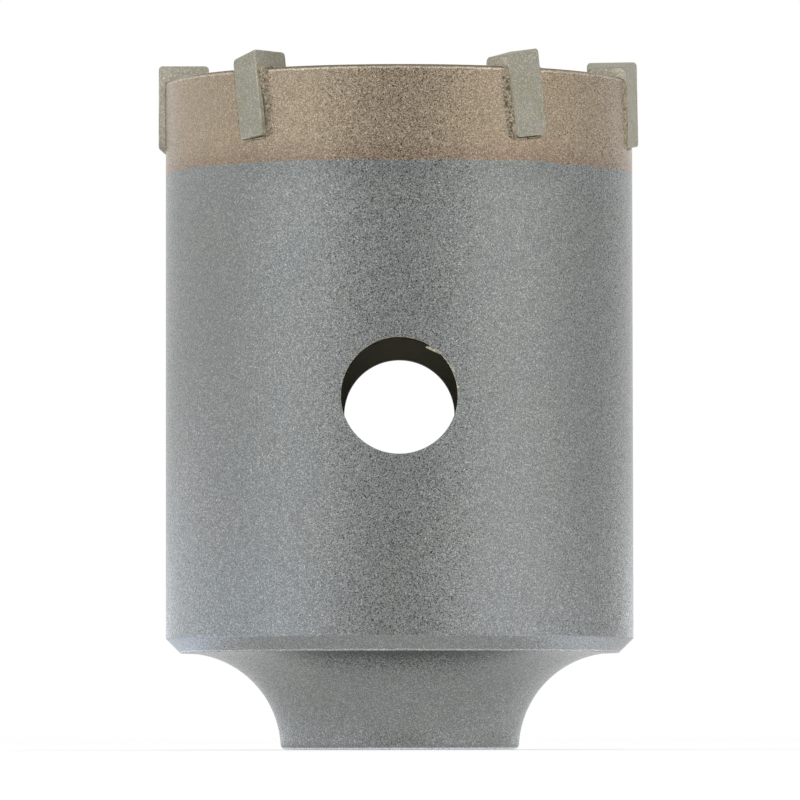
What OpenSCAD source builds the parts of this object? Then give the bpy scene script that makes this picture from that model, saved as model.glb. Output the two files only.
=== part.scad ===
// Percussion core cutter with brazed carbide plates.
// A steel cup is turned in one piece with the threaded hub that drives it. Six
// carbide plates are brazed into slots in its rim, at an uneven pitch.
// Millimetres. The origin is the centre of the hub's seat face. +Z runs along
// the axis to the plates' tips, and -Y is the side of one mouth of the cross hole.

/* [Cut] */
// Diameter of the hole that the plates cut
cutting_d = 50; // [50:1:125]
// Depth of the cup, from its floor to the plates' tips
working_depth = 50; // [40:1:100]

/* [Cup] */
// Height of the cup's floor above the hub's seat face
floor_h = 21; // [16:0.5:30]
// Thickness of the cup's wall
wall_t = 3.5; // [2.5:0.1:5]
// Radius in the corner between the floor and the wall
floor_fillet = 1.5; // [0.5:0.1:4]
// Chamfer at the shoulder, below the wall
shoulder_chamfer = 1.5; // [0.5:0.1:1.8]
// Broken edge on both sides of the rim
rim_edge = 0.25; // [0.1:0.05:0.6]

/* [Hub] */
// Diameter of the hub where it meets its seat face
hub_d = 24.7; // [22:0.1:25.4]
// Radius of the hollow neck between the hub and the shoulder
neck_r = 10; // [6:0.1:10.3]
// Rounding of the hub's outer edge
hub_edge_r = 0.6; // [0.2:0.1:1]
// Nominal diameter of the hub's thread
thread_d = 16; // [12:1:18]
// Pitch of the hub's thread
thread_pitch = 2; // [1:0.25:2.5]
// How far the entry chamfer opens past the thread's nominal diameter
thread_entry = 0.4; // [0:0.1:1]

/* [Cross hole] */
// Diameter of the hole through both walls, for a drift or a bar
cross_hole_d = 12; // [6:0.5:16]
// Height of the cross hole's axis above the cup's floor
cross_hole_rise = 14.7; // [10:0.1:22]

/* [Carbide plates] */
// Thickness of a plate, along the cut
plate_t = 3.3; // [2:0.1:5]
// How deep a plate sits in its slot, below the rim
plate_seat = 7; // [4:0.1:12]
// How far the tips stand above the rim
tip_rise = 1.8; // [1:0.1:3]
// How far the cutting edge stands out of the wall, outside the cup
proud_outside = 0.75; // [0.3:0.05:1.5]
// How far the cutting edge stands out of the wall, inside the cup
proud_inside = 1; // [0.3:0.05:1.5]
// Lean of a plate back from the cut, in degrees
plate_lean = 7; // [0:0.5:12]
// Clearance ground on a plate's top, in degrees
top_relief = 7; // [0:0.5:12]
// Clearance ground on a plate's outer side, in degrees
outer_relief = 11; // [2:0.5:13]
// Clearance ground on a plate's inner side, in degrees
inner_relief = 8; // [2:0.5:13]
// Rounding of a plate's two top corners
plate_corner_r = 0.4; // [0.1:0.05:0.8]
// Rounding of a plate's foot
plate_foot_r = 0.45; // [0.1:0.05:1]

/* [Braze] */
// Gap round a plate that the braze fills
braze_gap = 0.2; // [0.1:0.05:0.4]
// How far the steel's corners are broken at a slot's mouth
slot_mouth = 0.5; // [0.1:0.1:1]

/* [Hidden] */
$fn = 96;
// Cut shapes run past the surfaces that they open by this much
past = 1;
// Where each cutting edge stands round the rim, in degrees from -Y towards +X.
// The pitch is uneven so that the cutter doesn't chatter.
plate_angles = [-89.5, -36, 34.5, 80.5, 144, 207];
plate_count = len(plate_angles);

wall_r = cutting_d / 2 - proud_outside;
cup_r = wall_r - wall_t;
tip_z = floor_h + working_depth;
rim_z = tip_z - tip_rise;
plate_h = plate_seat + tip_rise;
plate_outer_r = cutting_d / 2;
plate_inner_r = cup_r - proud_inside;

// The neck is a quarter circle that starts upright at the seat face
neck_x = hub_d / 2 + neck_r;
shoulder_z = neck_r;
shoulder_r = wall_r - shoulder_chamfer;

// The hole that is drilled before the thread is cut
core_r = (thread_d - thread_pitch) / 2;
entry_r = thread_d / 2 + thread_entry;
entry_h = entry_r - core_r;
exit_h = entry_h / 2;
cross_hole_z = floor_h + cross_hole_rise;

// What a rounding of radius r takes off a square corner at the origin
module corner_waste(r) {
    difference() {
        translate([-past, -past]) square(past + r);
        translate([r, r]) circle(r = r);
    }
}

// Right half of the turned blank, before the inside is cut
module outer_half_profile() {
    // The hub's edge rounding touches both the seat face and the neck
    edge_x = neck_x - sqrt(pow(neck_r + hub_edge_r, 2) - pow(hub_edge_r, 2));
    touch = hub_edge_r / (neck_r + hub_edge_r);
    difference() {
        polygon([
            [0, 0], [neck_x, 0], [neck_x, shoulder_z],
            [shoulder_r, shoulder_z], [wall_r, shoulder_z + shoulder_chamfer],
            [wall_r, rim_z - rim_edge], [wall_r - rim_edge, rim_z], [0, rim_z]
        ]);
        translate([neck_x, 0]) circle(r = neck_r);
        difference() {
            polygon([
                [edge_x, -past], [neck_x, -past], [neck_x, 0],
                [edge_x + touch * (neck_x - edge_x), hub_edge_r * (1 - touch)],
                [edge_x, hub_edge_r]
            ]);
            translate([edge_x, hub_edge_r]) circle(r = hub_edge_r);
        }
    }
}

// Right half of what the cup and the drilled hub leave open
module inner_half_profile() {
    difference() {
        polygon([
            [0, floor_h], [cup_r, floor_h], [cup_r, rim_z - rim_edge],
            [cup_r + rim_edge + past, rim_z + past], [0, rim_z + past]
        ]);
        translate([cup_r, floor_h]) mirror([1, 0]) corner_waste(floor_fillet);
    }
    polygon([
        [0, -past], [entry_r + past, -past], [core_r, entry_h],
        [core_r, floor_h - exit_h], [core_r + exit_h + past, floor_h + past],
        [0, floor_h + past]
    ]);
}

// The cup and hub as they leave the lathe
module turned_blank() {
    rotate_extrude() difference() {
        outer_half_profile();
        inner_half_profile();
    }
}

// Stands its children at plate i: -Y points out of the cup, +X the way of the
// cut, and z = 0 is the tip
module at_plate(i) {
    rotate([0, 0, plate_angles[i]]) translate([0, 0, tip_z]) children();
}

// Seen along the radius: the plate leans back and is cleared behind its edge
module plate_side_profile() {
    difference() {
        polygon([
            [0, 0], [0, -plate_h], [-plate_t, -plate_h],
            [-plate_t, -plate_t * tan(top_relief)]
        ]);
        translate([0, -plate_h]) mirror([1, 0]) corner_waste(plate_foot_r);
        translate([-plate_t, -plate_h]) corner_waste(plate_foot_r);
    }
}

// Seen from above: the outer and inner sides are cleared behind the edge
module plate_plan_profile() {
    polygon([
        [0, -plate_outer_r], [0, -plate_inner_r],
        [-plate_t, -plate_inner_r - plate_t * tan(inner_relief)],
        [-plate_t, -plate_outer_r + plate_t * tan(outer_relief)]
    ]);
}

// Seen along the cut: the two top corners are rounded. The wider face behind
// the edge isn't needed, because the plan narrows there.
module plate_face_profile() {
    difference() {
        translate([-plate_outer_r, -plate_h])
            square([plate_outer_r - plate_inner_r, plate_h]);
        translate([-plate_outer_r, 0]) mirror([0, 1]) corner_waste(plate_corner_r);
        translate([-plate_inner_r, 0]) mirror([1, 0]) mirror([0, 1])
            corner_waste(plate_corner_r);
    }
}

module carbide_plate(i) {
    color("darkgray") at_plate(i) rotate([0, -plate_lean, 0]) intersection() {
        rotate([90, 0, 0])
            linear_extrude(plate_outer_r + past) plate_side_profile();
        translate([0, 0, -plate_h - past])
            linear_extrude(plate_h + 2 * past) plate_plan_profile();
        translate([-plate_t - past, 0, 0]) rotate([90, 0, 90])
            linear_extrude(plate_t + 2 * past) plate_face_profile();
    }
}

// Cross-section of a slot, square to its plate: the plate's, grown by the braze
module slot_profile() {
    slot_w = plate_t + 2 * braze_gap;
    slot_h = plate_h + braze_gap;
    foot_r = plate_foot_r + braze_gap;
    translate([-plate_t - braze_gap, -slot_h]) difference() {
        square([slot_w, slot_h + past]);
        corner_waste(foot_r);
        translate([slot_w, 0]) mirror([1, 0]) corner_waste(foot_r);
    }
}

// Where a wall of the leaning slot passes a depth below the tips
function slot_wall(wall_x, depth) = [
    (wall_x + depth * sin(plate_lean)) / cos(plate_lean),
    -depth
];

// The steel's corners are broken where the slot opens at the rim
module slot_mouth_profile() {
    ahead_x = braze_gap;
    behind_x = -plate_t - braze_gap;
    ahead = slot_wall(ahead_x, tip_rise);
    behind = slot_wall(behind_x, tip_rise);
    polygon([
        slot_wall(ahead_x, tip_rise + slot_mouth), ahead + [slot_mouth, 0],
        ahead + [slot_mouth, past], behind + [-slot_mouth, past],
        behind - [slot_mouth, 0], slot_wall(behind_x, tip_rise + slot_mouth)
    ]);
}

// Runs a cross-section out through the wall, from inside the cup
module across_wall() {
    rotate([90, 0, 0]) translate([0, 0, plate_inner_r - past])
        linear_extrude(wall_t + proud_inside + 3 * past) children();
}

// The slot as a milling cutter and a file leave it
module slot(i) {
    at_plate(i) {
        rotate([0, -plate_lean, 0]) across_wall() slot_profile();
        across_wall() slot_mouth_profile();
    }
}

module core_body() {
    color("slategray") difference() {
        turned_blank();
        for (i = [0 : plate_count - 1]) slot(i);
        translate([0, 0, cross_hole_z]) rotate([90, 0, 0])
            cylinder(d = cross_hole_d, h = 2 * (wall_r + past), center = true);
    }
}

// The braze that holds plate i, out to the slot's walls
module braze_seam(i) {
    color("darkkhaki") difference() {
        intersection() {
            turned_blank();
            slot(i);
        }
        carbide_plate(i);
    }
}

core_body();
for (i = [0 : plate_count - 1]) {
    carbide_plate(i);
    braze_seam(i);
}
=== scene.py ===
import math

import bmesh
import bpy
from mathutils import Matrix, Vector, noise


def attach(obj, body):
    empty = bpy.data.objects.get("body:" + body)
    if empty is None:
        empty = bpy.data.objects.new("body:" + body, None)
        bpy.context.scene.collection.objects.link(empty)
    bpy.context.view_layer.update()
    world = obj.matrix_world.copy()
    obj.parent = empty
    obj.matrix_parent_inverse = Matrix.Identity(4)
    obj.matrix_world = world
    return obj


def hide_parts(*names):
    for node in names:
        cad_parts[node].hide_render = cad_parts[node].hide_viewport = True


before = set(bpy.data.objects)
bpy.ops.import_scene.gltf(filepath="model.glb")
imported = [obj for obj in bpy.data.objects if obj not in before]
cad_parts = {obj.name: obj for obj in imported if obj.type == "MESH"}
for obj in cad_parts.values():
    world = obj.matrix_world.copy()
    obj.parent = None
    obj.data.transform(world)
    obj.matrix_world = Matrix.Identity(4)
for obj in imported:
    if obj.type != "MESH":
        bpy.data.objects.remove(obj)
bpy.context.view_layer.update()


# Cutter cup: the cup, the hollow neck and the hub are one piece of alloy steel, turned from
# bar. Blasting with steel shot has rounded its outside edges by up to 0.3 mm.
MM = 0.001
wall_radius = 24.25
cup_radius = 20.75
cup_floor = 21.0
cup_floor_fillet = 1.5
rim_height = 69.2
rim_chamfer = 0.25
rim_top_rounding = 0.06
shoulder_radius = 22.75
shoulder_height = 10.0
shoulder_chamfer = 1.5
neck_radius = 10.0
neck_centre = 22.35
neck_steps = 28
hub_edge_rounding = 0.6
hub_edge_steps = 8
thread_core_radius = 7.0
thread_entry_radius = 8.4
thread_exit_chamfer = 0.7
thread_exit_rounding = 0.15
blunt_edge = 0.3
crisp_edge = 0.12


def arc_points(centre, radius, first_angle, last_angle, steps):
    """Points on an arc, as (radius from the axis, height) in millimetres, both ends included."""
    turn = (last_angle - first_angle) / steps
    angles = [math.radians(first_angle + turn * k) for k in range(steps + 1)]
    return [
        (centre[0] + radius * math.cos(a), centre[1] + radius * math.sin(a)) for a in angles
    ]


def soften(corners, steps=5):
    """Rounds a closed outline. Each corner is (x, y) or (x, y, rounding)."""
    outline = []
    for i, corner in enumerate(corners):
        here = Vector(corner[:2])
        if len(corner) == 2:
            outline.append(here)
            continue
        back = (Vector(corners[i - 1][:2]) - here).normalized()
        on = (Vector(corners[(i + 1) % len(corners)][:2]) - here).normalized()
        half = back.angle(on) / 2
        centre = here + (back + on).normalized() * corner[2] / math.sin(half)
        start = (here + back * corner[2] / math.tan(half) - centre).normalized()
        end = (here + on * corner[2] / math.tan(half) - centre).normalized()
        for k in range(steps + 1):
            outline.append(centre + start.slerp(end, k / steps) * corner[2])
    return outline


# The rounding of the hub's edge touches both the seat face and the neck
edge_centre = neck_centre - math.sqrt(
    (neck_radius + hub_edge_rounding) ** 2 - hub_edge_rounding**2
)
neck_end = 180 - math.degrees(math.asin(hub_edge_rounding / (neck_radius + hub_edge_rounding)))
hub_edge = arc_points(
    (edge_centre, hub_edge_rounding), hub_edge_rounding, neck_end - 180, -90, hub_edge_steps
)
blank_outline = soften(
    [
        (thread_entry_radius, 0, crisp_edge),
        (thread_core_radius, thread_entry_radius - thread_core_radius),
        (thread_core_radius, cup_floor - thread_exit_chamfer),
        (thread_core_radius + thread_exit_chamfer, cup_floor, thread_exit_rounding),
        (cup_radius, cup_floor, cup_floor_fillet),
        (cup_radius, rim_height, blunt_edge),
        (wall_radius - rim_chamfer, rim_height, rim_top_rounding),
        (wall_radius, rim_height - rim_chamfer, blunt_edge),
        (wall_radius, shoulder_height + shoulder_chamfer, blunt_edge),
        (shoulder_radius, shoulder_height, crisp_edge),
    ]
    + arc_points((neck_centre, 0), neck_radius, 90, neck_end, neck_steps)
    + hub_edge[1:]
)


# Blasted steel is matt grey: the shot leaves craters of 0.03 to 0.1 mm, each tipped and
# burnished its own way, so the eye sees a fine grain that is strongest where the light changes
# fastest. All are drawn at the upper end of that size, because the smaller ones don't show.
crater_size = 0.09
dent_size = 0.12


def linear(code):
    """An sRGB colour, as six hex digits, turned to the linear colour that sockets take."""
    parts = [int(code[i : i + 2], 16) / 255 for i in (0, 2, 4)]
    return [p / 12.92 if p <= 0.04045 else ((p + 0.055) / 1.055) ** 2.4 for p in parts] + [1]


def add_node(tree, kind, inputs=None, **settings):
    """Adds a node. An input takes a socket to link it to, a colour's hex digits, or a value."""
    made = tree.nodes.new(kind)
    for name, value in settings.items():
        setattr(made, name, value)
    for name, value in (inputs or {}).items():
        if isinstance(value, bpy.types.NodeSocket):
            tree.links.new(value, made.inputs[name])
        else:
            made.inputs[name].default_value = linear(value) if isinstance(value, str) else value
    return made


def new_finish(name, roughness, metallic=1.0):
    """A material, its node tree, its Principled shader and the place on the piece."""
    material = bpy.data.materials.new(name)
    material.use_nodes = True
    tree = material.node_tree
    shader = tree.nodes["Principled BSDF"]
    shader.inputs["Metallic"].default_value = metallic
    shader.inputs["Roughness"].default_value = roughness
    place = add_node(tree, "ShaderNodeTexCoord").outputs["Object"]
    return material, tree, shader, place


def blasted_grain(tree, shader, place, colour, contrast, tilt):
    """Speckles a colour crater by crater and tips each crater's surface its own way. Returns how
    dull each crater is, from 0 to 1."""
    cells = add_node(
        tree, "ShaderNodeTexVoronoi", {"Vector": place, "Scale": 1 / (crater_size * MM)}
    ).outputs["Color"]
    crater = add_node(tree, "ShaderNodeTexWhiteNoise", {"Vector": cells})
    # The cube leaves most craters a little darker and lets a few glint
    glint = add_node(
        tree, "ShaderNodeMath", {0: crater.outputs["Value"], 1: 3.0}, operation="POWER"
    ).outputs[0]
    shade = add_node(
        tree, "ShaderNodeMapRange", {0: glint, 3: 1 - 0.6 * contrast, 4: 1 + 1.8 * contrast}
    ).outputs[0]
    # Wider dents overlap the craters, each painted darker in its middle and paler towards its
    # rim, as painted shade and light in the dent
    dents = add_node(
        tree, "ShaderNodeTexVoronoi", {"Vector": place, "Scale": 1 / (dent_size * MM)}
    ).outputs["Distance"]
    painted_dent_shade = add_node(
        tree,
        "ShaderNodeMapRange",
        {0: dents, 1: 0.1, 2: 0.75, 3: 1 - contrast, 4: 1 + contrast},
    ).outputs[0]
    both = add_node(tree, "ShaderNodeMath", {0: shade, 1: painted_dent_shade}, operation="MULTIPLY").outputs[0]
    toned = add_node(
        tree, "ShaderNodeVectorMath", {0: colour, "Scale": both}, operation="SCALE"
    )
    tree.links.new(toned.outputs[0], shader.inputs["Base Color"])
    outward = add_node(tree, "ShaderNodeNewGeometry").outputs["Normal"]
    lean = add_node(
        tree, "ShaderNodeVectorMath", {0: cells, 1: (0.5, 0.5, 0.5)}, operation="SUBTRACT"
    ).outputs[0]
    tipped = add_node(
        tree,
        "ShaderNodeVectorMath",
        {0: lean, 1: (tilt, tilt, tilt), 2: outward},
        operation="MULTIPLY_ADD",
    ).outputs[0]
    facing = add_node(tree, "ShaderNodeVectorMath", {0: tipped}, operation="NORMALIZE")
    tree.links.new(facing.outputs[0], shader.inputs["Normal"])
    return add_node(tree, "ShaderNodeSeparateXYZ", {0: crater.outputs["Color"]}).outputs["Y"]


blasted_steel, tree, shader, place = new_finish("shot_blasted_steel", 0.25)
where = add_node(tree, "ShaderNodeSeparateXYZ", {0: place})
height = where.outputs["Z"]
drift = add_node(
    tree, "ShaderNodeTexNoise", {"Vector": place, "Scale": 1 / (7 * MM), "Detail": 3.0}
).outputs[0]

# The heat of brazing has left a straw-brown oxide band at the rim. Its front wanders by a
# tenth of a millimetre, the oxide is darker just above it, and the grey steel darkens below it.
band_height = 59.6
wander = add_node(
    tree, "ShaderNodeMapRange", {0: drift, 1: 0.3, 2: 0.7, 3: -0.12 * MM, 4: 0.12 * MM}
).outputs[0]
level = add_node(tree, "ShaderNodeMath", {0: height, 1: wander}, operation="ADD").outputs[0]
in_band, up_band, near_band = [
    add_node(
        tree,
        "ShaderNodeMapRange",
        {0: level, 1: (band_height + low) * MM, 2: (band_height + high) * MM},
        interpolation_type="SMOOTHSTEP",
    ).outputs[0]
    for low, high in ((-0.1, 0.1), (0, 2.5), (-4, 0))
]
blotches = add_node(tree, "ShaderNodeMapRange", {0: drift, 1: 0.35, 2: 0.65}).outputs[0]
grey = add_node(
    tree, "ShaderNodeMix", {0: blotches, 6: "818483", 7: "838583"}, data_type="RGBA"
).outputs[2]
darkened = add_node(
    tree, "ShaderNodeMix", {0: near_band, 6: grey, 7: "7b7e7c"}, data_type="RGBA"
).outputs[2]
clouds = add_node(tree, "ShaderNodeMapRange", {0: drift, 1: 0.3, 2: 0.7}).outputs[0]
straw = add_node(
    tree, "ShaderNodeMix", {0: clouds, 6: "958673", 7: "918574"}, data_type="RGBA"
).outputs[2]
oxide = add_node(
    tree, "ShaderNodeMix", {0: up_band, 6: "89796a", 7: straw}, data_type="RGBA"
).outputs[2]
tinted = add_node(
    tree, "ShaderNodeMix", {0: in_band, 6: darkened, 7: oxide}, data_type="RGBA"
).outputs[2]

# Painted light: from 4 mm below the band upward, the steel is painted paler at the left and right
# sides, a painted sheen where the side light falls brighter
aside = add_node(
    tree, "ShaderNodeMath", {0: where.outputs["X"]}, operation="ABSOLUTE"
).outputs[0]
painted_side_light = add_node(
    tree,
    "ShaderNodeMapRange",
    {0: aside, 1: 14.5 * MM, 2: 19 * MM, 4: 0.17},
    interpolation_type="SMOOTHSTEP",
).outputs[0]
painted_side_paleness = add_node(
    tree, "ShaderNodeMath", {0: painted_side_light, 1: near_band, 2: 1.0}, operation="MULTIPLY_ADD"
).outputs[0]
tinted = add_node(
    tree, "ShaderNodeVectorMath", {0: tinted, "Scale": painted_side_paleness}, operation="SCALE"
).outputs[0]

# Fine lines are painted along the edges of the rim, the shoulder and the hub: the pale ones are
# painted highlights where the rounded edges catch the light, and the dark one on top of the rim
# is a painted dark reflection. Each follows the true height or a ragged one, and has its middle
# and half its width in millimetres, and its colour.
chatter = add_node(
    tree, "ShaderNodeTexNoise", {"Vector": place, "Scale": 1 / (0.8 * MM), "Detail": 2.0}
).outputs[0]
fraying = add_node(
    tree, "ShaderNodeMapRange", {0: chatter, 1: 0.3, 2: 0.7, 3: -0.06 * MM, 4: 0.06 * MM}
).outputs[0]
ragged = add_node(tree, "ShaderNodeMath", {0: height, 1: fraying}, operation="ADD").outputs[0]
for followed, middle, half_width, code in (
    (ragged, 68.86, 0.07, "b6ab9a"),
    (height, 69.09, 0.06, "676154"),
    (ragged, 10.13, 0.05, "a9acab"),
    (height, 0.12, 0.09, "c3ccd2"),
):
    painted_edge_line = add_node(
        tree,
        "ShaderNodeMath",
        {0: followed, 1: middle * MM, 2: half_width * MM},
        operation="COMPARE",
    ).outputs[0]
    tinted = add_node(
        tree, "ShaderNodeMix", {0: painted_edge_line, 6: tinted, 7: code}, data_type="RGBA"
    ).outputs[2]
dullness = blasted_grain(tree, shader, place, tinted, 0.27, 0.45)
roughness = add_node(tree, "ShaderNodeMapRange", {0: dullness, 3: 0.18, 4: 0.38})
tree.links.new(roughness.outputs[0], shader.inputs["Roughness"])

# The inside of the cup isn't blasted: it keeps the rings of the boring tool under the dark
# brown film that the brazing heat bakes on the cutting oil. The real rings are 0.3 mm apart,
# too fine to show, and are drawn 2.5 mm apart.
bored_steel, tree, shader, place = new_finish("bored_oil_browned_steel", 0.5)
ring_spacing = 2.5
# The wave texture repeats this many times in 2 pi of its own units
wave_texture_factor = 20
film = add_node(
    tree, "ShaderNodeTexNoise", {"Vector": place, "Scale": 1 / (4 * MM), "Detail": 4.0}
).outputs[0]
film_share = add_node(tree, "ShaderNodeMapRange", {0: film, 1: 0.3, 2: 0.7}).outputs[0]
bored = add_node(
    tree, "ShaderNodeMix", {0: film_share, 6: "69685b", 7: "767366"}, data_type="RGBA"
).outputs[2]
height = add_node(tree, "ShaderNodeSeparateXYZ", {0: place}).outputs["Z"]
heated = add_node(
    tree,
    "ShaderNodeMapRange",
    {0: height, 1: 56 * MM, 2: 63 * MM},
    interpolation_type="SMOOTHSTEP",
).outputs[0]
browned = add_node(
    tree, "ShaderNodeMix", {0: heated, 6: bored, 7: "80725f"}, data_type="RGBA"
)
tree.links.new(browned.outputs[2], shader.inputs["Base Color"])
rings = add_node(
    tree,
    "ShaderNodeTexWave",
    {
        "Vector": place,
        "Scale": math.tau / wave_texture_factor / (ring_spacing * MM),
        "Distortion": 0.6,
        "Detail": 1.0,
    },
    bands_direction="Z",
    wave_profile="SAW",
)
ringed = add_node(
    tree,
    "ShaderNodeBump",
    {"Height": rings.outputs[1], "Strength": 0.6, "Distance": 0.01 * MM},
)
tree.links.new(ringed.outputs[0], shader.inputs["Normal"])

# The drilled walls of the cross hole are rough and carry black-brown scale from the brazing
# heat, so they stay dark even at a glancing look.
scaled_steel, tree, shader, place = new_finish("drilled_scaled_steel", 0.9, 0.0)
shader.inputs["Specular IOR Level"].default_value = 0.1
scale_spots = add_node(
    tree, "ShaderNodeTexNoise", {"Vector": place, "Scale": 1 / (0.8 * MM), "Detail": 3.0}
).outputs[0]
scale_share = add_node(tree, "ShaderNodeMapRange", {0: scale_spots, 1: 0.3, 2: 0.7}).outputs[0]
scale = add_node(
    tree, "ShaderNodeMix", {0: scale_share, 6: "25241b", 7: "38342a"}, data_type="RGBA"
)
tree.links.new(scale.outputs[2], shader.inputs["Base Color"])

# The thread is cut after blasting, so its flanks are bright bare metal, faintly smeared with
# oil.
cut_steel, tree, shader, place = new_finish("cut_thread_steel", 0.3)
smears = add_node(
    tree, "ShaderNodeTexNoise", {"Vector": place, "Scale": 1 / (1.5 * MM), "Detail": 3.0}
).outputs[0]
smear_share = add_node(tree, "ShaderNodeMapRange", {0: smears, 1: 0.3, 2: 0.7}).outputs[0]
smeared = add_node(
    tree, "ShaderNodeMix", {0: smear_share, 6: "8e8f8d", 7: "a3a3a0"}, data_type="RGBA"
)
tree.links.new(smeared.outputs[2], shader.inputs["Base Color"])


# Cutters for the six slots: each slot is milled with a thin wheel that leans back from the
# cut by 7 degrees, and its edges are broken with a file where they meet the wall and rim.
plate_angles = [-89.5, -36, 34.5, 80.5, 144, 207]
plate_thickness = 3.3
plate_height = 8.8
plate_foot_rounding = 0.45
plate_outer_radius = 25.0
plate_inner_radius = 19.75
plate_lean = math.radians(7)
outer_relief = math.radians(11)
inner_relief = math.radians(8)
tip_height = 71.1
braze_gap = 0.2
slot_edge_break = 0.16
slot_mouth_break = 0.6
# How far the cutter runs past the wall and the rim, and how far it has opened out there
past_wall = 1.4
past_wall_opening = 0.5
past_rim = 1.0
past_rim_opening = 0.8


def plate_contour(side_heights, corner_steps=6, foot_steps=8):
    """Round a plate's leading side, foot and trailing side: (x, z, outward x, outward z) in the
    plate's own frame. Side heights run from the tip down and are below zero."""
    r = plate_foot_rounding
    low = -plate_height + r
    sides = [z for z in side_heights if z > low]
    contour = [(0, z, 1, 0) for z in sides]
    for k in range(corner_steps + 1):
        a = -math.pi / 2 * k / corner_steps
        contour.append((-r + r * math.cos(a), low + r * math.sin(a), math.cos(a), math.sin(a)))
    for k in range(1, foot_steps):
        x = -r - (plate_thickness - 2 * r) * k / foot_steps
        contour.append((x, -plate_height, 0, -1))
    for k in range(corner_steps + 1):
        a = -math.pi / 2 * (1 + k / corner_steps)
        x = -plate_thickness + r + r * math.cos(a)
        contour.append((x, low + r * math.sin(a), math.cos(a), math.sin(a)))
    return contour + [(-plate_thickness, z, -1, 0) for z in reversed(sides)]


def leaned(x, z):
    """A point of a plate's own frame, seen along the radius, with the lean and the tip's height."""
    across = x * math.cos(plate_lean) - z * math.sin(plate_lean)
    return across, tip_height + x * math.sin(plate_lean) + z * math.cos(plate_lean)


def wall_depth(radius, across):
    """How far out a round wall stands, beside the radius that runs through a plate."""
    return math.sqrt(radius**2 - across**2)


def edge_break(size, steps=5, reach=78):
    """A rounded edge as (how far it opens sideways, how far below the surface)."""
    angles = [math.radians(reach * k / steps) for k in range(steps + 1)]
    return [(size * (1 - math.cos(a)), size * (1 - math.sin(a))) for a in angles]


# Along the radius: the wall's radius, how far the slot opens and how far out of the wall
slot_edge = edge_break(slot_edge_break)
slot_end_opening = slot_edge[-1][0] + past_wall_opening
slot_stations = [(cup_radius, slot_end_opening, -past_wall)]
slot_stations += [(cup_radius, wide, deep) for wide, deep in reversed(slot_edge)]
slot_stations += [(wall_radius, wide, -deep) for wide, deep in slot_edge]
slot_stations += [(wall_radius, slot_end_opening, past_wall)]
mouth = edge_break(slot_mouth_break)
mouth_heights = [(rim_height + past_rim, mouth[-1][0] + past_rim_opening)]
mouth_heights += [(rim_height - deep, wide) for wide, deep in reversed(mouth)]
side_heights = [(high - tip_height) / math.cos(plate_lean) for high, _ in mouth_heights]
side_top = -3.5
side_step = 0.6
side_heights += [side_top - side_step * k for k in range(9)]
slot_contour = plate_contour(side_heights)


def mouth_opening(z):
    """How far the slot opens at a height near the rim."""
    if z <= rim_height - slot_mouth_break:
        return 0
    for (high, wide), (low, narrow) in zip(mouth_heights, mouth_heights[1:]):
        if z >= low:
            return narrow + (wide - narrow) * min(1, (z - low) / (high - low))
    return 0


def slot_cutter(angle):
    """The points, ring after ring, of the shape that a slot takes out of the rim."""
    turn = Matrix.Rotation(math.radians(angle), 3, "Z")
    points = []
    for radius, wide, out in slot_stations:
        for x, z, nx, nz in slot_contour:
            opening = braze_gap + wide + mouth_opening(leaned(x, z)[1])
            across, high = leaned(x + nx * opening, z + nz * opening)
            deep = (radius if abs(out) == past_wall else wall_depth(radius, across)) + out
            points.append(turn @ Vector((across, -deep, high)))
    return points


def tube_faces(ring, rings, first=0):
    """The sides of a closed tube and then its two caps, from rings of points that start at
    first. The caps may face either way, until the whole shape is turned outwards."""
    faces = []
    for near in range(first, first + (rings - 1) * ring, ring):
        far = near + ring
        for s in range(ring):
            after = (s + 1) % ring
            faces.append((near + s, near + after, far + after, far + s))
    last = first + (rings - 1) * ring
    return faces + [list(range(first, first + ring)), list(range(last, last + ring))]


def mesh_object(name, points, edges, faces):
    """An object of its own in the scene from points in millimetres."""
    mesh = bpy.data.meshes.new(name)
    mesh.from_pydata([Vector(p) * MM for p in points], edges, faces)
    made = bpy.data.objects.new(name, mesh)
    bpy.context.collection.objects.link(made)
    return made


slot_points, slot_faces = [], []
for angle in plate_angles:
    slot_faces += tube_faces(len(slot_contour), len(slot_stations), len(slot_points))
    slot_points += slot_cutter(angle)
slot_cutters = mesh_object("slot_cutters", slot_points, [], slot_faces)

# The cross hole is drilled through both walls at once, and its sharp edges are broken. Its
# cutter swells inside the cup as well as outside, clear of both walls.
hole_radius = 5.88
hole_height = 35.7
hole_steps = 144
hole_edge_break = 0.07
past_outside = 1.2
past_inside = 0.5
hole_edge = edge_break(hole_edge_break, 4)
hole_stations = [(wall_radius, hole_edge[-1][0] + 0.5, past_outside)]
hole_stations += [(wall_radius, wide, -deep) for wide, deep in reversed(hole_edge)]
hole_stations += [(cup_radius, wide, deep) for wide, deep in hole_edge]
hole_stations += [(cup_radius, hole_edge[-1][0] + 0.25, -past_inside)]
hole_stations += [(-radius, wide, out) for radius, wide, out in reversed(hole_stations)]
points = []
for radius, wide, out in hole_stations:
    for k in range(hole_steps):
        a = 2 * math.pi * k / hole_steps
        across = (hole_radius + wide) * math.cos(a)
        deep = wall_depth(abs(radius), across) + out
        up = hole_height + (hole_radius + wide) * math.sin(a)
        points.append((across, -math.copysign(deep, radius), up))
hole_faces = tube_faces(hole_steps, len(hole_stations))
hole_cutter = mesh_object("hole_cutter", points, [], hole_faces)

# The hub is tapped right through with an M16 x 2 thread: a 60 degree groove on a helix.
thread_radius = 8.0
thread_pitch = 2.0
thread_turns = 12.5
groove_overlap = 0.3
groove_top = thread_core_radius - thread_radius - groove_overlap
groove_floor = thread_pitch / 8
groove_mouth = groove_floor - 2 * groove_top * math.tan(math.radians(30))
tap = mesh_object(
    "tap",
    [
        (groove_top, -groove_mouth / 2, 0),
        (0, -groove_floor / 2, 0),
        (0, groove_floor / 2, 0),
        (groove_top, groove_mouth / 2, 0),
    ],
    [(0, 1), (1, 2), (2, 3), (3, 0)],
    [],
)


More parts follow.
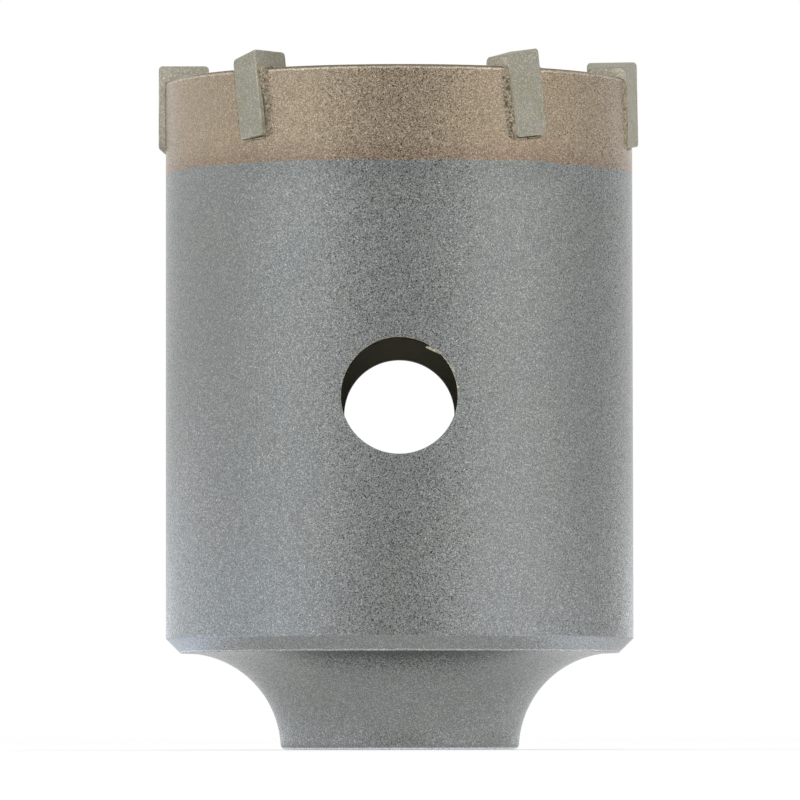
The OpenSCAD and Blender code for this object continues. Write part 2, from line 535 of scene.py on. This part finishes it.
def shape_tree(name, sizes):
    """A Geometry Nodes tree with a geometry input and these named inputs, and its two ends."""
    tree = bpy.data.node_groups.new(name, "GeometryNodeTree")
    tree.interface.new_socket("Geometry", in_out="INPUT", socket_type="NodeSocketGeometry")
    for size, kind in sizes.items():
        tree.interface.new_socket(size, in_out="INPUT", socket_type=kind)
    tree.interface.new_socket("Geometry", in_out="OUTPUT", socket_type="NodeSocketGeometry")
    return tree, tree.nodes.new("NodeGroupInput"), tree.nodes.new("NodeGroupOutput")


def finish_shape(tree, taken, geometry, coats):
    """Ends a tree: real geometry in its materials, each one over all of it or a selection."""
    shape = add_node(tree, "GeometryNodeRealizeInstances", {"Geometry": geometry}).outputs[0]
    for material, selection in coats:
        inputs = {"Geometry": shape, "Selection": selection, "Material": material}
        shape = add_node(tree, "GeometryNodeSetMaterial", inputs).outputs[0]
    tree.links.new(shape, taken.inputs[0])


def bake_shape(made):
    """Turns an object's live modifiers into its plain mesh."""
    bpy.context.view_layer.update()
    depsgraph = bpy.context.evaluated_depsgraph_get()
    shaped = bpy.data.meshes.new_from_object(made.evaluated_get(depsgraph))
    made.modifiers.clear()
    made.data = shaped


def grow(made, tree, sizes):
    """Runs a tree on an object with these sizes, and keeps the result as its plain mesh."""
    modifier = made.modifiers.new(tree.name, "NODES")
    modifier.node_group = tree
    for socket in tree.interface.items_tree:
        if socket.name in sizes:
            modifier[socket.identifier] = sizes[socket.name]
    bake_shape(made)


tree, given, taken = shape_tree(
    "tap_thread",
    {"Pitch": "NodeSocketFloat", "Turns": "NodeSocketFloat", "Radius": "NodeSocketFloat"},
)
rise = add_node(
    tree,
    "ShaderNodeMath",
    {0: given.outputs["Pitch"], 1: given.outputs["Turns"]},
    operation="MULTIPLY",
)
helix = add_node(
    tree,
    "GeometryNodeCurveSpiral",
    {
        "Resolution": 72,
        "Rotations": given.outputs["Turns"],
        "Start Radius": given.outputs["Radius"],
        "End Radius": given.outputs["Radius"],
        "Height": rise.outputs[0],
        "Reverse": True,
    },
)
upright = add_node(
    tree, "GeometryNodeSetCurveNormal", {"Curve": helix.outputs[0]}, mode="Z_UP"
)
groove = add_node(tree, "GeometryNodeMeshToCurve", {"Mesh": given.outputs["Geometry"]})
swept = add_node(
    tree,
    "GeometryNodeCurveToMesh",
    {"Curve": upright.outputs[0], "Profile Curve": groove.outputs[0], "Fill Caps": True},
)
lowered = add_node(
    tree,
    "GeometryNodeTransform",
    {"Geometry": swept.outputs[0], "Translation": (0, 0, -thread_pitch * MM)},
)
finish_shape(tree, taken, lowered.outputs[0], [(cut_steel, True)])
grow(
    tap,
    tree,
    {"Pitch": thread_pitch * MM, "Turns": thread_turns, "Radius": thread_radius * MM},
)


def face_outwards(made):
    """Merges a shape's doubles and turns its faces outwards."""
    shape = bmesh.new()
    shape.from_mesh(made.data)
    bmesh.ops.remove_doubles(shape, verts=shape.verts, dist=1e-7)
    bmesh.ops.recalc_face_normals(shape, faces=shape.faces)
    shape.to_mesh(made.data)
    shape.free()


for cutter in (slot_cutters, hole_cutter, tap):
    face_outwards(cutter)

# The blank is spun from its outline round a circle as thin as a hair, and the slots, the
# cross hole and the thread are cut out of it. The bored inside, the drilled hole and the
# thread keep finishes of their own.
axis_radius = 0.001
cup = mesh_object(
    "cutter_cup",
    [(p[0] - axis_radius, -p[1], 0) for p in blank_outline],
    [(i, (i + 1) % len(blank_outline)) for i in range(len(blank_outline))],
    [],
)
tree, given, taken = shape_tree(
    "turned_cup",
    {
        "Facets": "NodeSocketInt",
        "Slots": "NodeSocketObject",
        "Cross hole": "NodeSocketObject",
        "Thread": "NodeSocketObject",
        "Bore radius": "NodeSocketFloat",
        "Thread radius": "NodeSocketFloat",
        "Hole radius": "NodeSocketFloat",
        "Crease": "NodeSocketFloat",
    },
)
lathe = add_node(
    tree,
    "GeometryNodeCurvePrimitiveCircle",
    {"Resolution": given.outputs["Facets"], "Radius": axis_radius * MM},
)
upright = add_node(
    tree, "GeometryNodeSetCurveNormal", {"Curve": lathe.outputs[0]}, mode="Z_UP"
)
outline = add_node(tree, "GeometryNodeMeshToCurve", {"Mesh": given.outputs["Geometry"]})
spun = add_node(
    tree,
    "GeometryNodeCurveToMesh",
    {"Curve": upright.outputs[0], "Profile Curve": outline.outputs[0]},
)
cut = add_node(
    tree,
    "GeometryNodeMeshBoolean",
    {"Mesh 1": spun.outputs[0]},
    operation="DIFFERENCE",
    solver="MANIFOLD",
)
for name in ("Slots", "Cross hole", "Thread"):
    tool = add_node(tree, "GeometryNodeObjectInfo", {"Object": given.outputs[name]})
    tree.links.new(tool.outputs["Geometry"], cut.inputs["Mesh 2"])
smooth = add_node(tree, "GeometryNodeSetShadeSmooth", {"Geometry": cut.outputs[0]})
bend = add_node(tree, "GeometryNodeInputMeshEdgeAngle")
crease = add_node(
    tree,
    "FunctionNodeCompare",
    {0: bend.outputs[0], 1: given.outputs["Crease"]},
    operation="GREATER_THAN",
)
creased = add_node(
    tree,
    "GeometryNodeSetShadeSmooth",
    {"Geometry": smooth.outputs[0], "Selection": crease.outputs[0], "Shade Smooth": False},
    domain="EDGE",
)
position = add_node(tree, "GeometryNodeInputPosition")
spot = add_node(tree, "ShaderNodeSeparateXYZ", {0: position.outputs[0]})
flat = add_node(
    tree, "ShaderNodeCombineXYZ", {"X": spot.outputs["X"], "Y": spot.outputs["Y"]}
)
from_axis = add_node(tree, "ShaderNodeVectorMath", {0: flat.outputs[0]}, operation="LENGTH")
off_hole = add_node(
    tree, "ShaderNodeMath", {0: spot.outputs["Z"], 1: hole_height * MM}, operation="SUBTRACT"
)
beside = add_node(
    tree, "ShaderNodeCombineXYZ", {"X": spot.outputs["X"], "Y": off_hole.outputs[0]}
)
from_hole = add_node(tree, "ShaderNodeVectorMath", {0: beside.outputs[0]}, operation="LENGTH")
drilled = add_node(
    tree,
    "FunctionNodeCompare",
    {0: from_hole.outputs["Value"], 1: given.outputs["Hole radius"]},
    operation="LESS_THAN",
)
coats = [(blasted_steel, True)]
for name, side, material in (
    ("Bore radius", "GREATER_THAN", bored_steel),
    ("Thread radius", "LESS_THAN", cut_steel),
):
    inside = add_node(
        tree,
        "FunctionNodeCompare",
        {0: from_axis.outputs["Value"], 1: given.outputs[name]},
        operation="LESS_THAN",
    )
    on_side = add_node(
        tree,
        "FunctionNodeCompare",
        {0: spot.outputs["Z"], 1: (cup_floor - 0.1) * MM},
        operation=side,
    )
    both = add_node(tree, "FunctionNodeBooleanMath", {0: inside.outputs[0], 1: on_side.outputs[0]})
    coats.append((material, both.outputs[0]))
coats.append((scaled_steel, drilled.outputs[0]))
finish_shape(tree, taken, creased.outputs[0], coats)
grow(
    cup,
    tree,
    {
        "Facets": 288,
        "Slots": slot_cutters,
        "Cross hole": hole_cutter,
        "Thread": tap,
        "Bore radius": (cup_radius + 0.05) * MM,
        "Thread radius": (thread_entry_radius + 0.02) * MM,
        "Hole radius": (hole_radius + 0.01) * MM,
        "Crease": math.radians(32),
    },
)
for cutter in (slot_cutters, hole_cutter, tap):
    bpy.data.objects.remove(cutter)
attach(cup, "root")
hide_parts("core_body")


# Carbide plates: six wafers of tungsten carbide, pressed, sintered and ground with clearance
# behind the edge, brazed in the slots and then blasted with the cup. Their edges are honed
# round by about a tenth of a millimetre.
top_relief = math.radians(7)
plate_hone = 0.12
plate_corner_rounding = 0.4
corner_rounding_gain = 0.08
# Sintered carbide that has been blasted is a matt olive grey without a metal's shine. A pale
# film on its broad faces is partly burnt flux and partly painted light, and its edges are
# painted lighter, partly worn bare and partly painted highlights.
carbide, tree, shader, place = new_finish("blasted_sintered_carbide", 0.6, 0.0)
clouds = add_node(
    tree, "ShaderNodeTexNoise", {"Vector": place, "Scale": 1 / (2.5 * MM), "Detail": 3.0}
).outputs[0]
cloud_share = add_node(tree, "ShaderNodeMapRange", {0: clouds, 1: 0.3, 2: 0.7}).outputs[0]
ground = add_node(
    tree, "ShaderNodeMix", {0: cloud_share, 6: "85826f", 7: "8c897d"}, data_type="RGBA"
).outputs[2]
# The pale film on the broad faces is partly burnt flux and partly painted light
flux_film_and_painted_light = add_node(tree, "ShaderNodeAttribute", attribute_name="flux_film_and_painted_light").outputs["Fac"]
filmed_and_lit = add_node(
    tree, "ShaderNodeMix", {0: flux_film_and_painted_light, 6: ground, 7: "b0ab9b"}, data_type="RGBA"
).outputs[2]
# Edges painted lighter: partly worn bare metal, partly painted highlights
worn_and_highlit = add_node(tree, "ShaderNodeAttribute", attribute_name="worn_and_highlit").outputs["Fac"]
knocks = add_node(
    tree, "ShaderNodeTexNoise", {"Vector": place, "Scale": 1 / (1.2 * MM), "Detail": 3.0}
).outputs[0]
knocked = add_node(tree, "ShaderNodeMapRange", {0: knocks, 1: 0.4, 2: 0.65}).outputs[0]
rubbed_and_highlit = add_node(
    tree, "ShaderNodeMath", {0: worn_and_highlit, 1: knocked}, operation="MULTIPLY"
).outputs[0]
carbide_colour = add_node(
    tree, "ShaderNodeMix", {0: rubbed_and_highlit, 6: filmed_and_lit, 7: "bdb9aa"}, data_type="RGBA"
).outputs[2]
blasted_grain(tree, shader, place, carbide_colour, 0.26, 0.25)


def plate_station(x, inset):
    """The plate's outline at x, behind its leading face, as points (radius, height)."""
    outer = plate_outer_radius + x * math.tan(outer_relief) - inset
    inner = plate_inner_radius - x * math.tan(inner_relief) + inset
    top = x * math.tan(top_relief) - inset
    into_foot = max(0, plate_foot_rounding + max(x, -plate_thickness - x))
    low = plate_foot_rounding - math.sqrt(plate_foot_rounding**2 - into_foot**2) - plate_height
    rounding = plate_corner_rounding - corner_rounding_gain * x
    return soften(
        [
            (outer, low, crisp_edge),
            (outer, top, rounding),
            (inner, top, rounding),
            (inner, low, crisp_edge),
        ],
        6,
    )


# How much pale film, partly flux and partly painted light, lies on each plate's broad faces,
# and how much its edges are painted lighter, for wear and painted highlight
film_and_light_left = {1: 0.6, 2: 0.0, 3: 1.0, 4: 1.0, 5: 0.5, 6: 0.5}
edge_wear_and_highlight = 0.8
# From the leading face back: the hone, two rings that keep the broad face flat, the foot's
# rounding, the middle, and the same again to the trailing face
hone_steps = [math.radians(90 - 22.5 * k) for k in range(5)]
plate_stations = [
    (-plate_hone * (1 - math.sin(a)), plate_hone * (1 - math.cos(a))) for a in hone_steps
]
plate_stations += [(-0.2, 0), (-0.3, 0), (-plate_foot_rounding, 0), (-plate_thickness / 2, 0)]
plate_stations += [(-plate_thickness - x, inset) for x, inset in reversed(plate_stations[:-1])]
for number, angle in enumerate(plate_angles, 1):
    turn = Matrix.Rotation(math.radians(angle), 3, "Z")
    points, film, wear_and_highlight = [], [], []
    for k, (x, inset) in enumerate(plate_stations):
        outline = plate_station(x, inset)
        # The broad faces carry the pale film, partly flux and partly painted light
        broad_face = k in (0, len(plate_stations) - 1)
        film += [film_and_light_left[number] if broad_face else 0] * len(outline)
        for s, (radius, z) in enumerate(outline):
            across, high = leaned(x, z)
            points.append(turn @ Vector((across, -radius, high)))
            # The leading edge and the foot's outer edge are painted lighter, for wear and painted
            # highlight
            leading_edge = k in (1, 2, 3)
            outer_foot_edge = 1 <= s <= 5
            wear_and_highlight.append(edge_wear_and_highlight if leading_edge or outer_foot_edge else 0)
    faces = tube_faces(len(outline), len(plate_stations))
    plate = mesh_object(f"ground_plate_{number}", points, [], faces)
    plate.data.attributes.new("flux_film_and_painted_light", "FLOAT", "POINT").data.foreach_set("value", film)
    plate.data.attributes.new("worn_and_highlit", "FLOAT", "POINT").data.foreach_set("value", wear_and_highlight)
    face_outwards(plate)
    for face in plate.data.polygons:
        face.use_smooth = True
    flats = plate.modifiers.new("flat_faces", "WEIGHTED_NORMAL")
    flats.weight = 100
    bake_shape(plate)
    plate.data.materials.append(carbide)
    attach(plate, "root")
    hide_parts(f"carbide_plate_{number}")


# Braze: brass-coloured filler that ran into the gap round each plate when the rim was heated.
# It wets both sides, so it draws up on the plate and sags between, with pits where the flux
# boiled.
bead_steps = 72
fillet_steps = 12
# How far the braze reaches under the foot and at the slot's mouth, how far below the rim the
# mouth is felt, and how far below it the crack is fully open
foot_reach = 0.3
mouth_reach = slot_mouth_break + braze_gap + 0.05
mouth_zone = 1.2
crack_start = 3
# How far the braze overlaps the plate's face, and how deep it runs into the slot
plate_overlap = 0.03
bead_root = 0.4
# Where the crack and the pits beside the plate are, and how wide
crack_distance = 0.05
crack_half_width = 0.1
pit_zone = 0.28
# Blasting has dulled the brass to a mottled yellow-brown, and its cracks and pits are painted
# dark, partly dirt and partly painted shade
brazing_brass, tree, shader, place = new_finish("blasted_brazing_brass", 0.5, 0.4)
mottle = add_node(
    tree, "ShaderNodeTexNoise", {"Vector": place, "Scale": 1 / (0.7 * MM), "Detail": 3.0}
).outputs[0]
mottled = add_node(tree, "ShaderNodeMapRange", {0: mottle, 1: 0.35, 2: 0.65}).outputs[0]
dulled = add_node(
    tree, "ShaderNodeMix", {0: mottled, 6: "837763", 7: "948975"}, data_type="RGBA"
).outputs[2]
pits = add_node(
    tree, "ShaderNodeTexNoise", {"Vector": place, "Scale": 1 / (0.3 * MM), "Detail": 1.0}
).outputs[0]
pitted = add_node(tree, "ShaderNodeMapRange", {0: pits, 1: 0.6, 2: 0.68}).outputs[0]
pitted_film = add_node(
    tree, "ShaderNodeMix", {0: pitted, 6: dulled, 7: "564c3b"}, data_type="RGBA"
).outputs[2]
# Cracks and pits painted near-black: partly dirt, partly painted shade
hollow = add_node(tree, "ShaderNodeAttribute", attribute_name="hollow").outputs["Fac"]
braze_colour = add_node(
    tree, "ShaderNodeMix", {0: hollow, 6: pitted_film, 7: "241f18"}, data_type="RGBA"
).outputs[2]
blasted_grain(tree, shader, place, braze_colour, 0.4, 0.4)
# For each plate, ahead of it and behind it: how far the braze climbs on the plate, how far it
# reaches from it, how far it sags between, and how far it climbs above the rim
bead_sizes = {
    1: ((0.08, 0.5, 0.04, 0.3), (0.1, 0.36, 0.02, 0.3)),
    2: ((0.62, 0.95, 0.02, 0.3), (0.1, 0.36, 0.0, 0.3)),
    3: ((0.5, 0.8, 0.04, 0.4), (0.1, 1.1, 0.0, 0.5)),
    4: ((0.5, 0.8, 0.04, 0.4), (0.36, 0.7, 0.02, 0.4)),
    5: ((0.4, 0.7, 0.05, 0.4), (0.1, 0.4, 0.1, 0.3)),
    6: ((0.45, 0.7, 0.05, 0.4), (0.1, 0.4, 0.1, 0.4)),
}
# For each plate: how open the thin crack beside it is ahead, under the foot and behind, then
# how many pits there are ahead and behind, and how far the pits are from it
bead_flaws = {
    1: (0.3, 0.5, 0.0, 0.0, 0.0, 0.4),
    2: (0.9, 0.9, 0.0, 0.55, 0.0, 0.7),
    3: (0.1, 0.9, 0.15, 0.0, 1.0, 0.5),
    4: (0.0, 0.2, 0.1, 0.0, 0.2, 0.3),
    5: (0.5, 0.7, 0.2, 0.5, 0.3, 0.5),
    6: (0.3, 0.6, 0.4, 0.2, 0.6, 0.4),
}


def braze_bead(number):
    """The closed shape of the braze round one plate: points, faces and how dark each point is
    painted in the cracks and pits, for dirt and painted shade.
    """
    ahead, behind = bead_sizes[number]
    crack_ahead, crack_under, crack_behind = bead_flaws[number][:3]
    pits_ahead, pits_behind, pit_distance = bead_flaws[number][3:]
    turn = Matrix.Rotation(math.radians(plate_angles[number - 1]), 3, "Z")
    seed = Vector((17.3 * number, 4.1, 9.7))
    top = (rim_height - tip_height) / math.cos(plate_lean)
    side_length = plate_height - plate_foot_rounding + top
    path = plate_contour([top - side_length * k / bead_steps for k in range(bead_steps)], 8, 16)
    points, hollows = [], []
    for x, z, nx, nz in path:
        share = (1 - nx) / 2
        climb, reach, sag, top_climb = [
            a * (1 - share) + b * share for a, b in zip(ahead, behind)
        ]
        under_foot = max(0, -nz)
        climb *= 1 - under_foot
        reach -= (reach - foot_reach) * under_foot
        # At the slot's mouth the braze spreads, and behind the plate it creeps less far up
        near_top = max(0, 1 - (top - z) / mouth_zone) ** 2
        climb *= 1 - 0.9 * share * near_top
        reach += near_top * max(0, mouth_reach - reach)
        low_down = min(1, max(0, (top - z) / crack_start))
        crack = crack_ahead * max(0, nx) * low_down + crack_behind * max(0, -nx)
        crack = max(crack, crack_under * under_foot)
        # Where a crack is open, the braze hasn't wetted the plate
        climb *= 1 - 0.85 * crack
        pitting = pits_ahead * max(0, nx) + pits_behind * max(0, -nx)
        pitting *= 1 - near_top
        plate_out = plate_outer_radius + x * math.tan(outer_relief)
        plate_in = plate_inner_radius - x * math.tan(inner_relief)
        section, hollow = [], []
        for side in ("outer", "inner"):
            for k in range(fillet_steps + 1):
                u = k / fillet_steps
                opening = -plate_overlap + (reach + plate_overlap) * u
                across, high = leaned(x + nx * opening, z + nz * opening)
                # Broad and small lumps, none at either edge
                spot = Vector((across, high, 0 if side == "outer" else 50)) + seed
                lump = noise.noise(spot * 1.6) * 0.06 + noise.noise(spot * 4.5) * 0.07
                lump *= math.sin(math.pi * min(1, u * 1.1))
                if side == "outer":
                    wall = wall_depth(wall_radius, across)
                    rise_on = min(climb, 0.85 * (plate_out - wall))
                else:
                    wall = wall_depth(cup_radius, across)
                    rise_on = min(0.3, 0.75 * (wall - plate_in))
                # The fillet is hollow, and its far edge runs out just under the wall
                lift = rise_on * (1 - u) ** 1.8 - sag * math.sin(math.pi * u) + lump
                lift += 0.02 - 0.05 * u
                # A crack runs along the plate, closed here and there, and pits lie beyond it
                beside = reach * u
                gap = crack * max(0, 1 - abs(beside - crack_distance) / crack_half_width)
                gap *= min(1, max(0.2, 0.9 + 1.6 * noise.noise(spot * 0.9)))
                spread = pitting * min(1, max(0, 2 - abs(beside - pit_distance) / pit_zone))
                hole = max(0, min(1, (noise.noise(spot * 3.9) - 0.06) / 0.16)) * spread
                # The crack and the pits are painted dark, for dirt and painted shade
                hollow.append(min(1, gap + 0.75 * hole) if side == "outer" else 0)
                lift += 0.08 * spread - 0.1 * gap - 0.05 * hole
                deep = wall + lift if side == "outer" else wall - lift
                rise = near_top * (
                    top_climb * (1 - u) ** 2.4 - 0.1 * math.sin(math.pi * u) - 0.03 * u + lump
                )
                over_chamfer = max(0, high + rise - rim_height + rim_chamfer)
                deep -= u * over_chamfer if side == "outer" else 0
                section.append(Vector((across, -deep, high + rise)))
        buried = braze_gap + 0.02
        across, high = leaned(x + nx * buried, z + nz * buried)
        outer_root = wall_depth(wall_radius, across) - bead_root
        inner_root = wall_depth(cup_radius, across) + bead_root
        loop = section[: fillet_steps + 1]
        loop += [Vector((across, -outer_root, high)), Vector((across, -inner_root, high))]
        loop += section[fillet_steps + 1 :][::-1]
        points += [turn @ p for p in loop]
        hollows += hollow[: fillet_steps + 1] + [0] * (fillet_steps + 3)
    ring = 2 * fillet_steps + 4
    faces = tube_faces(ring, len(path))[:-2]
    # The section is hollow-sided, so each end is closed with strips across it
    for start, backwards in ((0, False), ((len(path) - 1) * ring, True)):
        for k in range(fillet_steps + 1):
            cap = (start + k, start + ring - 1 - k, start + ring - 2 - k, start + k + 1)
            faces.append(cap[::-1] if backwards else cap)
    return points, faces, hollows


for number in bead_sizes:
    points, faces, hollows = braze_bead(number)
    bead = mesh_object(f"braze_bead_{number}", points, [], faces)
    bead.data.attributes.new("hollow", "FLOAT", "POINT").data.foreach_set("value", hollows)
    face_outwards(bead)
    for face in bead.data.polygons:
        face.use_smooth = True
    bead.data.set_sharp_from_angle(angle=math.radians(50))
    bead.data.materials.append(brazing_brass)
    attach(bead, "root")
    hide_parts(f"braze_seam_{number}")


# Burr: the drill has raised a thin lip round the upper half of the hole's front edge, clean
# on one side and torn on the other, where one flake still hangs into the hole. The angles are
# in degrees round the hole, from the right.
burr_start = 168
burr_sweep = 174
burr_end = burr_start - burr_sweep
burr_steps = 150
torn_below = 50
burr_points = []


def hole_side_point(a, reach, proud):
    """A point beside the hole's front mouth, so far from its axis and so proud of the wall."""
    across = reach * math.cos(a)
    return across, -wall_depth(wall_radius, across) - proud, hole_height + reach * math.sin(a)


for k in range(burr_steps + 1):
    degrees = burr_start - burr_sweep * k / burr_steps
    a = math.radians(degrees)
    torn = max(0, min(1, (torn_below - degrees) / 6))
    torn *= max(0, min(1, (degrees - burr_end) / 12))
    tear = noise.noise(Vector((k * 0.31, 2.2, 7.1)))
    tear += 0.8 * noise.noise(Vector((k * 0.93, 5.5, 1.3)))
    wide = 0.05 + 0.03 * abs(tear) + torn * (0.03 + 0.4 * max(0, tear))
    lip = 0.015 + torn * 0.06 * abs(tear)
    section = ((-lip, 0.0), (-0.3 * lip, 0.05), (wide * 0.4, 0.045), (wide, -0.02), (0, -0.06))
    for off, proud in section:
        burr_points.append(hole_side_point(a, hole_radius + 0.02 + off, proud))
burr_faces = tube_faces(len(section), burr_steps + 1)
flake_start = 45
flake_sweep = 16.5
flake_steps = 24
flake_half_width = 0.17
flake_faces = tube_faces(len(section), flake_steps + 1, len(burr_points))
for k in range(flake_steps + 1):
    along = k / flake_steps
    a = math.radians(flake_start + flake_sweep * along)
    middle = hole_radius + 0.04 - 0.3 * along**1.3
    frayed = 0.05 * noise.noise(Vector((k * 0.6, 8.4, 3.3)))
    half = flake_half_width * math.sqrt(max(0, 1 - (2 * along - 1) ** 2)) + 0.02
    section = ((frayed - half, 0.0), (0, 0.07), (frayed + half, 0.02))
    section += ((half, -0.05), (-half, -0.05))
    for off, proud in section:
        burr_points.append(hole_side_point(a, middle + off, proud - 0.25 * along**2))
burr = mesh_object("hole_burr", burr_points, [], burr_faces + flake_faces)
face_outwards(burr)
# Torn steel is brighter than the blasted wall, with a mottled glint: the pale colour is partly
# bare metal and partly a painted highlight along the hole's edge
burr_steel, tree, shader, place = new_finish("torn_burr_steel", 0.35, 0.7)
glints = add_node(
    tree, "ShaderNodeTexNoise", {"Vector": place, "Scale": 1 / (0.3 * MM), "Detail": 2.0}
).outputs[0]
glint_share = add_node(tree, "ShaderNodeMapRange", {0: glints, 1: 0.35, 2: 0.65}).outputs[0]
torn_and_highlit = add_node(
    tree, "ShaderNodeMix", {0: glint_share, 6: "827e6d", 7: "bdb9a8"}, data_type="RGBA"
)
tree.links.new(torn_and_highlit.outputs[2], shader.inputs["Base Color"])
burr.data.materials.append(burr_steel)
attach(burr, "root")


# Studio: a pale floor that runs into a white room, soft boxes at both sides and above the
# camera, small lamps beside and behind the hub, and dark cards behind the camera and at the
# right, which the cup mirrors as its darker stripes.
floor_radius = 6000
floor_drop = 0.02
# How much of the floor is plain white where the camera sees it and where the steel mirrors it
seen_glow = 0.5
mirrored_glow = 0.75
floor_material, tree, shader, _ = new_finish("pale_floor", 0.9, 0.0)
shader.inputs["Base Color"].default_value = linear("fcfcfb")
path = add_node(tree, "ShaderNodeLightPath")
seen = add_node(
    tree,
    "ShaderNodeMath",
    {0: path.outputs["Is Camera Ray"], 1: path.outputs["Is Glossy Ray"]},
    operation="MAXIMUM",
)
seen = add_node(
    tree,
    "ShaderNodeMath",
    {0: seen.outputs[0], 1: path.outputs["Is Transmission Ray"]},
    operation="MAXIMUM",
)
share = add_node(
    tree,
    "ShaderNodeMath",
    {0: path.outputs["Is Glossy Ray"], 1: mirrored_glow - seen_glow, 2: seen_glow},
    operation="MULTIPLY_ADD",
)
share = add_node(
    tree, "ShaderNodeMath", {0: seen.outputs[0], 1: share.outputs[0]}, operation="MULTIPLY"
)
white = add_node(tree, "ShaderNodeEmission", {"Strength": 1.0})
mixed = add_node(
    tree, "ShaderNodeMixShader", {0: share.outputs[0], 1: shader.outputs[0], 2: white.outputs[0]}
)
# The floor is clear from underneath, and lies a hair under the hub so that they don't share
# one plane
underneath = add_node(tree, "ShaderNodeNewGeometry").outputs["Backfacing"]
clear = add_node(tree, "ShaderNodeBsdfTransparent")
one_way = add_node(
    tree, "ShaderNodeMixShader", {0: underneath, 1: mixed.outputs[0], 2: clear.outputs[0]}
)
tree.links.new(one_way.outputs[0], tree.nodes["Material Output"].inputs["Surface"])
floor = mesh_object("floor", [], [], [])
disc = bmesh.new()
bmesh.ops.create_circle(
    disc,
    cap_ends=True,
    segments=96,
    radius=floor_radius * MM,
    matrix=Matrix.Translation((0, 0, -floor_drop * MM)),
)
disc.to_mesh(floor.data)
disc.free()
floor.data.materials.append(floor_material)

dark_card, _, shader, _ = new_finish("dark_card", 0.9, 0.0)
shader.inputs["Base Color"].default_value = linear("303030")
card_height = 600
for name, left, right in (
    ("card_behind_camera", (-400, -1300), (400, -1300)),
    ("card_right", (1135, 390), (1030, 615)),
):
    corners = [(*left, 0), (*right, 0), (*right, card_height), (*left, card_height)]
    card = mesh_object(name, corners, [], [(0, 1, 2, 3)])
    card.data.materials.append(dark_card)
    card.visible_camera = False
    card.visible_shadow = False
    card.visible_diffuse = False

world = bpy.data.worlds.new("white_room")
bpy.context.scene.world = world
world.use_nodes = True
room = world.node_tree.nodes["Background"]
room.inputs["Color"].default_value = (1, 1, 1, 1)
room.inputs["Strength"].default_value = 1.0

# Each lamp: where it stands, what it faces, its width and height, all in millimetres, then
# its watts and tint
for name, stand, aim, wide, tall, watts, tint in (
    ("softbox_left", (-479, -361, 250), (0, 0, 30), 300, 600, 0.40, "f4f9ff"),
    ("softbox_right", (479, -361, 250), (0, 0, 30), 300, 600, 0.36, "fffaf4"),
    ("softbox_front", (0, -750, 500), (0, 0, 30), 500, 300, 0.3, "ffffff"),
    ("side_left", (-115, 45, 12), (0, 0, 12), 60, 24, 0.0036, "eef3ff"),
    ("back_left", (-110, 170, 10), (0, 0, 12), 100, 20, 0.006, "dfeaff"),
    ("back_right", (110, 170, 10), (0, 0, 12), 100, 20, 0.005, "eef3ff"),
    ("table_left", (-66, -8, 0.2), (-66, -8, 9), 76, 94, 0.0165, "c6daff"),
    ("table_right", (68, -40, 0.2), (68, -40, 9), 92, 100, 0.015, "e2ebff"),
):
    lamp = bpy.data.lights.new(name, "AREA")
    lamp.shape = "RECTANGLE"
    lamp.size = wide * MM
    lamp.size_y = tall * MM
    lamp.energy = watts
    lamp.color = linear(tint)[:3]
    box = bpy.data.objects.new(name, lamp)
    box.location = Vector(stand) * MM
    box.rotation_euler = (Vector(aim) * MM - box.location).to_track_quat("-Z", "Y").to_euler()
    bpy.context.collection.objects.link(box)

# Camera: a long lens at the height of the hub's foot, 0.8 m away and tilted up by 2.5
# degrees, so the cutter stands upright in the frame and the rim is seen from below.
camera = bpy.data.objects.new("camera", bpy.data.cameras.new("camera"))
camera.data.lens = 346.5
camera.data.sensor_width = 36
camera.location = (0.00002, -0.7992, 0.00132)
camera.rotation_euler = (math.radians(92.505), math.radians(0.08), 0)
bpy.context.collection.objects.link(camera)
bpy.context.scene.camera = camera
bpy.context.scene.view_settings.view_transform = "Standard"
